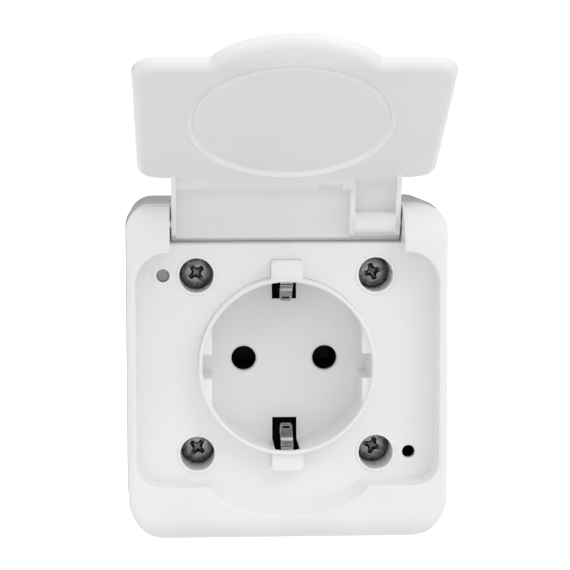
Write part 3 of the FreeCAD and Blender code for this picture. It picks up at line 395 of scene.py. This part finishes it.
def star_cutter(front):
    """Cross with hollow corners that narrows towards its foot."""
    deselect_all()
    above = 0.3
    bpy.ops.mesh.primitive_circle_add(vertices=24, radius=CROSS_R, fill_type="NGON",
                                      location=(0, 0, front + above))
    cutter = bpy.context.object
    edit()
    for step, share in CROSS_HOLLOWS:
        angles = [math.radians(15 * step + 90 * quarter) for quarter in range(4)]
        places = [Vector((CROSS_R * math.cos(angle), CROSS_R * math.sin(angle), 0)) for angle in angles]
        pick(lambda place: any((place.xy - spot.xy).length < 0.05 for spot in places))
        bpy.ops.transform.resize(value=(share, share, 1.0))
    bpy.ops.mesh.select_all(action="SELECT")
    rise(-above)
    rise(-CROSS_DEPTH * 0.7, 0.8)
    rise(-CROSS_DEPTH * 0.3, 0.55)
    outward()
    edit(False)
    return cutter


def slot_cutter(front):
    deselect_all()
    bpy.ops.mesh.primitive_cube_add(size=1.0, location=(0, 0, front))
    cutter = bpy.context.object
    cutter.scale = (2.4 * HEAD_R, DRIVE_SLOT_W, 2 * DRIVE_SLOT_DEPTH)
    bpy.ops.object.transform_apply(location=False, rotation=False, scale=True)
    edit()
    pick(lambda place: place.z < 0)
    bpy.ops.transform.resize(value=(1.0, 0.8, 1.0))
    edit(False)
    return cutter


def make_cover_screws():
    blank = screw_blank()
    front = max(vert.co.z for vert in blank.data.vertices)
    # The walls of the slot and cross take the darker zinc: painted shade.
    cut_with(blank, slot_cutter(front), zinc_hollow_shade)
    cut_with(blank, star_cutter(front), zinc_hollow_shade)
    break_edges(blank, SCREW_WORN_LIT_EDGE, zinc_wear_and_highlight)
    for name, (side, up, turn) in SCREW_TURNS.items():
        screw = bpy.data.objects.new(name, blank.data.copy())
        bpy.context.scene.collection.objects.link(screw)
        place = Matrix.Translation((side * SCREW_PITCH / MM, SEAT_Y, up * SCREW_PITCH / MM))
        turned = Matrix.Rotation(math.radians(90), 4, "X") @ Matrix.Rotation(math.radians(-turn), 4, "Z")
        settle(screw, place @ turned, "cover_screw_" + name, "housing")
        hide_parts("cover_screws")
    bpy.data.objects.remove(blank)


# Lid

def make_dish():
    """Oval dish of the lid: a sloped edge that stands in the groove, and a floor that rolls over to it."""
    deselect_all()
    bpy.ops.mesh.primitive_circle_add(vertices=192, radius=1.0, fill_type="NGON")
    dish = bpy.context.object
    edit()
    bpy.ops.mesh.select_all(action="SELECT")
    bpy.ops.transform.resize(value=(DISH_HALF_W, DISH_HALF_H, 1.0))
    bpy.ops.transform.translate(value=(0, 0, -DISH_BACK))
    rise(DISH_BACK)
    inset, depth = 0.0, 0.0
    for next_inset, next_depth in DISH_PROFILE:
        bpy.ops.mesh.extrude_region_move(TRANSFORM_OT_translate={"value": (0, 0, depth - next_depth)})
        bpy.ops.transform.resize(value=((DISH_HALF_W - next_inset) / (DISH_HALF_W - inset),
                                        (DISH_HALF_H - next_inset) / (DISH_HALF_H - inset), 1.0))
        inset, depth = next_inset, next_depth
    outward()
    edit(False)
    dish.data.materials.append(lid_white)
    dish.data.materials.append(lid_gloss_and_painted_highlight)
    # Faces on the dish's sloped edge take the lighter white: a painted highlight.
    for face in dish.data.polygons:
        across = face.center.x / (DISH_HALF_W - DISH_SLOPE_W)
        along = face.center.y / (DISH_HALF_H - DISH_SLOPE_W)
        face.material_index = int(across ** 2 + along ** 2 > 1.0)
    shut = Matrix.Translation((0, DISH_FACE_Y, -DISH_DROP)) @ Matrix.Rotation(math.radians(-90), 4, "X")
    hinge = Matrix.Translation(Vector(HINGE_AXIS) / MM)
    opened = hinge @ Matrix.Rotation(-LID_ANGLE, 4, "X") @ hinge.inverted() @ shut
    settle(dish, opened, "lid_dish", "lid", 50.0)


# Socket well

def make_slot_shade_sheet(side, name):
    """Black shell that fills the slot behind one earth clip and is open towards the plug: a thin sheet of
    painted shade.
    """
    deselect_all()
    bpy.ops.mesh.primitive_cube_add(size=2.0)
    shade_sheet = bpy.context.object
    edit()
    bpy.ops.mesh.select_all(action="SELECT")
    bpy.ops.transform.resize(value=(SLOT_HALF_W, SLOT_HALF_DEPTH, SLOT_HALF_H))
    bpy.ops.transform.translate(value=(0, SLOT_MIDDLE_Y, SLOT_MIDDLE_Z))
    bpy.ops.mesh.bisect(plane_co=(0, SLOT_BACK_Y, 0), plane_no=(0, 1, 0))
    bpy.ops.mesh.select_all(action="SELECT")
    bpy.ops.mesh.bisect(plane_co=(0, 0, SLOT_OPEN_Z), plane_no=(0, 0, 1))
    bpy.ops.mesh.select_mode(type="FACE")
    mesh = bmesh.from_edit_mesh(shade_sheet.data)
    for face in mesh.faces:
        middle = face.calc_center_median()
        face.select = middle.y < SLOT_BACK_Y and middle.z < SLOT_OPEN_Z
    bmesh.update_edit_mesh(shade_sheet.data)
    bpy.ops.mesh.delete(type="FACE")
    bpy.ops.mesh.select_mode(type="VERT")
    edit(False)
    wall = shade_sheet.modifiers.new("wall", "SOLIDIFY")
    wall.thickness = SHADE_SHEET_T
    bpy.ops.object.modifier_apply(modifier=wall.name)
    shade_sheet.data.materials.append(slot_painted_shade)
    settle(shade_sheet, half_turn(side), name, "housing")


def half_turn(side):
    return Matrix.Rotation(math.radians(180), 4, "Y") if side < 0 else Matrix.Identity(4)


def box_cutter(half_w, y0, y1, z0, z1):
    deselect_all()
    bpy.ops.mesh.primitive_cube_add(size=2.0)
    cutter = bpy.context.object
    edit()
    bpy.ops.mesh.select_all(action="SELECT")
    bpy.ops.transform.resize(value=(half_w, (y1 - y0) / 2, (z1 - z0) / 2))
    bpy.ops.transform.translate(value=(0, (y0 + y1) / 2, (z0 + z1) / 2))
    edit(False)
    return cutter


def make_clip_blade(side, name):
    """Formed blade round the end of the earth strip, with its nose, ridge, two windows and tapered end."""
    deselect_all()
    bpy.ops.mesh.primitive_plane_add(size=2.0, rotation=(math.radians(90), 0, 0))
    blade = bpy.context.object
    bpy.ops.object.transform_apply(location=False, rotation=True, scale=False)
    edit()
    bpy.ops.mesh.select_all(action="SELECT")
    y, low, high, share = CLIP_STATIONS[0]
    bpy.ops.transform.resize(value=(CLIP_HALF_W, 1.0, (high - low) / 2))
    bpy.ops.transform.translate(value=(0, y, (low + high) / 2))
    for next_y, next_low, next_high, next_share in CLIP_STATIONS[1:]:
        middle = (next_low + next_high) / 2
        step = (0, next_y - y, middle - (low + high) / 2)
        bpy.ops.mesh.extrude_region_move(TRANSFORM_OT_translate={"value": step})
        bpy.ops.transform.resize(value=(next_share / share, 1.0, (next_high - next_low) / (high - low)),
                                 center_override=(0, next_y, middle))
        y, low, high, share = next_y, next_low, next_high, next_share
    outward()
    edit(False)
    for material in (nickel, nickel_wear_and_highlight, nickel_painted_shade):
        blade.data.materials.append(material)
    for face in blade.data.polygons:
        # Ridge faces take the light nickel: a painted highlight.
        if CLIP_RIDGE_HIGHLIGHT[0] < face.center.y < CLIP_RIDGE_HIGHLIGHT[1]:
            face.material_index = 1
        # Faces of the nose take the near-black nickel: painted shade.
        elif face.center.y < CLIP_NOSE_SHADE_Y:
            face.material_index = 2
    # The walls of the two clip windows take the black: painted shade.
    for y0, y1, z0, z1 in CLIP_WINDOWS:
        cut_with(blade, box_cutter(CLIP_WINDOW_SHARE * CLIP_HALF_W, y0, y1, z0, z1), slot_painted_shade)
    break_edges(blade, CLIP_WORN_LIT_EDGE, nickel_wear_and_highlight)
    settle(blade, half_turn(side), name, "housing")


make_cover_screws()
make_dish()
# Each earth slot gets a black sheet of painted shade and a clip blade.
for side, place in ((1, "top"), (-1, "bottom")):
    make_slot_shade_sheet(side, "slot_shade_sheet_" + place)
    make_clip_blade(side, "clip_blade_" + place)


# Floor, light and camera

def set_floor(height):
    """White floor. It adds no light to the object, whose soft light comes from the studio's walls."""
    deselect_all()
    bpy.ops.mesh.primitive_plane_add(size=6.0, location=(0, 0, height))
    floor = bpy.context.object
    floor.name = "floor"
    floor.visible_diffuse = False
    finish = Finish("studio_floor")
    floor.data.materials.append(finish.shade(Base_Color=grey(0.6), Roughness=0.9,
                                             Emission_Color=grey(1.0), Emission_Strength=FLOOR_GLOW))


def key_light():
    lamp = bpy.data.lights.new("key", "AREA")
    lamp.shape = "RECTANGLE"
    lamp.size = lamp.size_y = KEY_SIZE
    lamp.energy = KEY_POWER
    holder = bpy.data.objects.new("key", lamp)
    bpy.context.scene.collection.objects.link(holder)
    holder.location = KEY_PLACE
    holder.rotation_mode = "QUATERNION"
    holder.rotation_quaternion = (Vector(KEY_AIM) - Vector(KEY_PLACE)).to_track_quat("-Z", "Y")


def light_studio():
    """White walls and ceiling, a dimmer floor, little light from behind, and a white backdrop."""
    world = bpy.data.worlds.new("studio")
    bpy.context.scene.world = world
    world.use_nodes = True
    tree = world.node_tree

    def brightness(direction, limits, levels):
        ramp = tree.nodes.new("ShaderNodeMapRange")
        tree.links.new(direction, ramp.inputs["Value"])
        for name, value in zip(("From Min", "From Max", "To Min", "To Max"), limits + levels):
            ramp.inputs[name].default_value = value
        return ramp.outputs[0]

    def times(first, second):
        product = tree.nodes.new("ShaderNodeMath")
        product.operation = "MULTIPLY"
        tree.links.new(first, product.inputs[0])
        tree.links.new(second, product.inputs[1])
        return product.outputs[0]

    backdrop = tree.nodes["Background"]
    backdrop.inputs["Color"].default_value = (1.0, 1.0, 1.0, 1.0)
    parts = tree.nodes.new("ShaderNodeSeparateXYZ")
    tree.links.new(tree.nodes.new("ShaderNodeTexCoord").outputs["Generated"], parts.inputs[0])
    walls = brightness(parts.outputs["Z"], FLOOR_TO_WALL, (FLOOR_LIGHT, WALL_LIGHT))
    behind = brightness(parts.outputs["Y"], FRONT_TO_BACK, (1.0, BACK_LIGHT))
    above = brightness(parts.outputs["Z"], WALL_TO_CEILING, (1.0, CEILING_LIGHT))
    strength = tree.nodes.new("ShaderNodeMix")
    tree.links.new(tree.nodes.new("ShaderNodeLightPath").outputs["Is Camera Ray"], strength.inputs["Factor"])
    tree.links.new(times(times(walls, above), behind), strength.inputs["A"])
    strength.inputs["B"].default_value = BACKDROP
    tree.links.new(strength.outputs["Result"], backdrop.inputs["Strength"])
    key_light()


def place_camera():
    data = bpy.data.cameras.new("camera")
    data.lens = CAMERA_LENS
    data.sensor_width = 36.0
    data.clip_start = 0.01
    data.clip_end = 20.0
    camera = bpy.data.objects.new("camera", data)
    bpy.context.scene.collection.objects.link(camera)
    level = Euler((math.pi / 2 + CAMERA_PITCH, 0.0, -CAMERA_YAW)).to_matrix()
    turn = level @ Matrix.Rotation(CAMERA_ROLL, 3, "Z")
    camera.matrix_world = Matrix.Translation(CAMERA_PLACE) @ turn.to_4x4()
    bpy.context.scene.camera = camera


set_floor(cad_low.z - FLOOR_GAP)
light_studio()
place_camera()
bpy.context.scene.view_settings.view_transform = "Standard"
